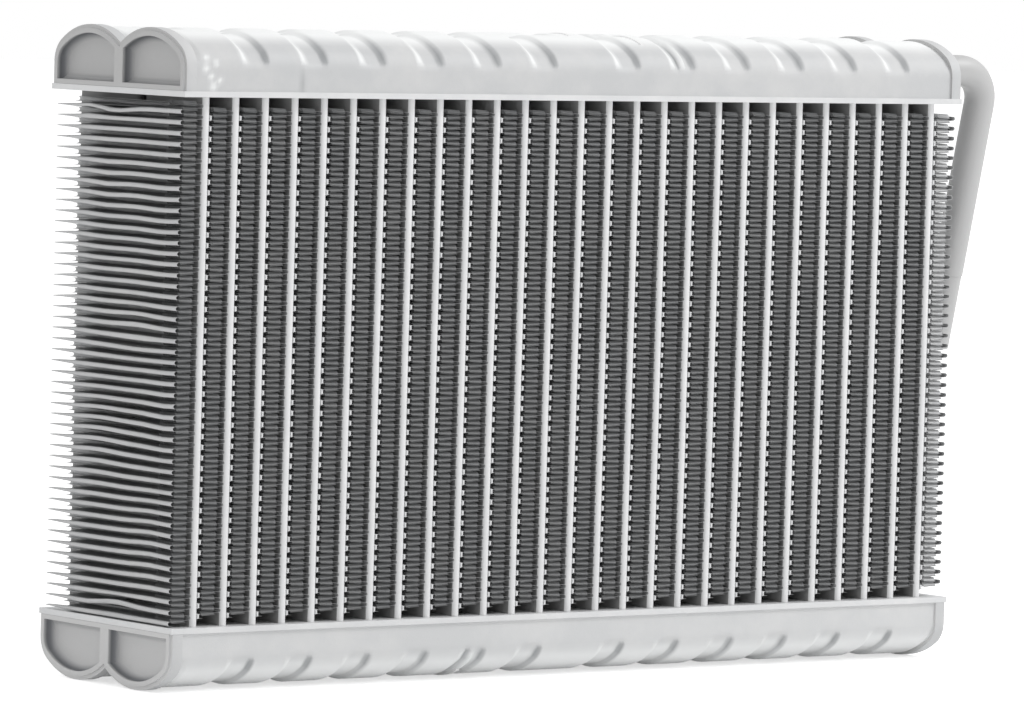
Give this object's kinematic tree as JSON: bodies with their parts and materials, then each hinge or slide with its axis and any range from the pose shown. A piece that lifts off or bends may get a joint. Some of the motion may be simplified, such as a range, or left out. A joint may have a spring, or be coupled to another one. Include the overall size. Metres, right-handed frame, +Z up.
{
  "type": "evaporator core",
  "caption": "Brazed aluminium evaporator core: flat tubes with folded fins between two twin-lobed tanks",
  "frame": {"origin": "middle of the overall box, on the floor that the bottom tank's caps stand on", "axes": "+X along the tanks towards the end with the pipes, +Y from the front face to the back, +Z up"},
  "size_m": [0.2672, 0.058, 0.1601],
  "materials": {
    "header_plate": "brazed sheet, satin",
    "tank_shell": "pressed sheet, satin",
    "end_cap": "pressed sheet, satin",
    "partition_plate": "sheet, satin",
    "pipe": "drawn tube, satin",
    "flat_tube": "extruded, matt",
    "fin": "thin rolled sheet"
  },
  "bodies": {
    "root": {"top_header": "header_plate", "bottom_header": "header_plate", "top_tank": "tank_shell", "bottom_tank": "tank_shell", "top_cap_left": "end_cap", "top_cap_right": "end_cap", "bottom_cap_left": "end_cap", "bottom_cap_right": "end_cap", "top_partition_front": "partition_plate", "top_partition_back": "partition_plate", "bottom_partition_front": "partition_plate", "bottom_partition_back": "partition_plate", "inlet_pipe": "pipe", "outlet_stub": "pipe", "front_tubes_pass_1": "flat_tube", "front_tubes_pass_2": "flat_tube", "front_tubes_pass_3": "flat_tube", "back_tubes_pass_1": "flat_tube", "back_tubes_pass_2": "flat_tube", "back_tubes_pass_3": "flat_tube", "fin_01": "fin", "fin_02": "fin", "fin_03": "fin", "fin_04": "fin", "fin_05": "fin", "fin_06": "fin", "fin_07": "fin", "fin_08": "fin", "fin_09": "fin", "fin_10": "fin", "fin_11": "fin", "fin_12": "fin", "fin_13": "fin", "fin_14": "fin", "fin_15": "fin", "fin_16": "fin", "fin_17": "fin", "fin_18": "fin", "fin_19": "fin", "fin_20": "fin", "fin_21": "fin", "fin_22": "fin", "fin_23": "fin", "fin_24": "fin", "fin_25": "fin", "fin_26": "fin", "fin_27": "fin", "fin_28": "fin"}
  },
  "joints": []
}
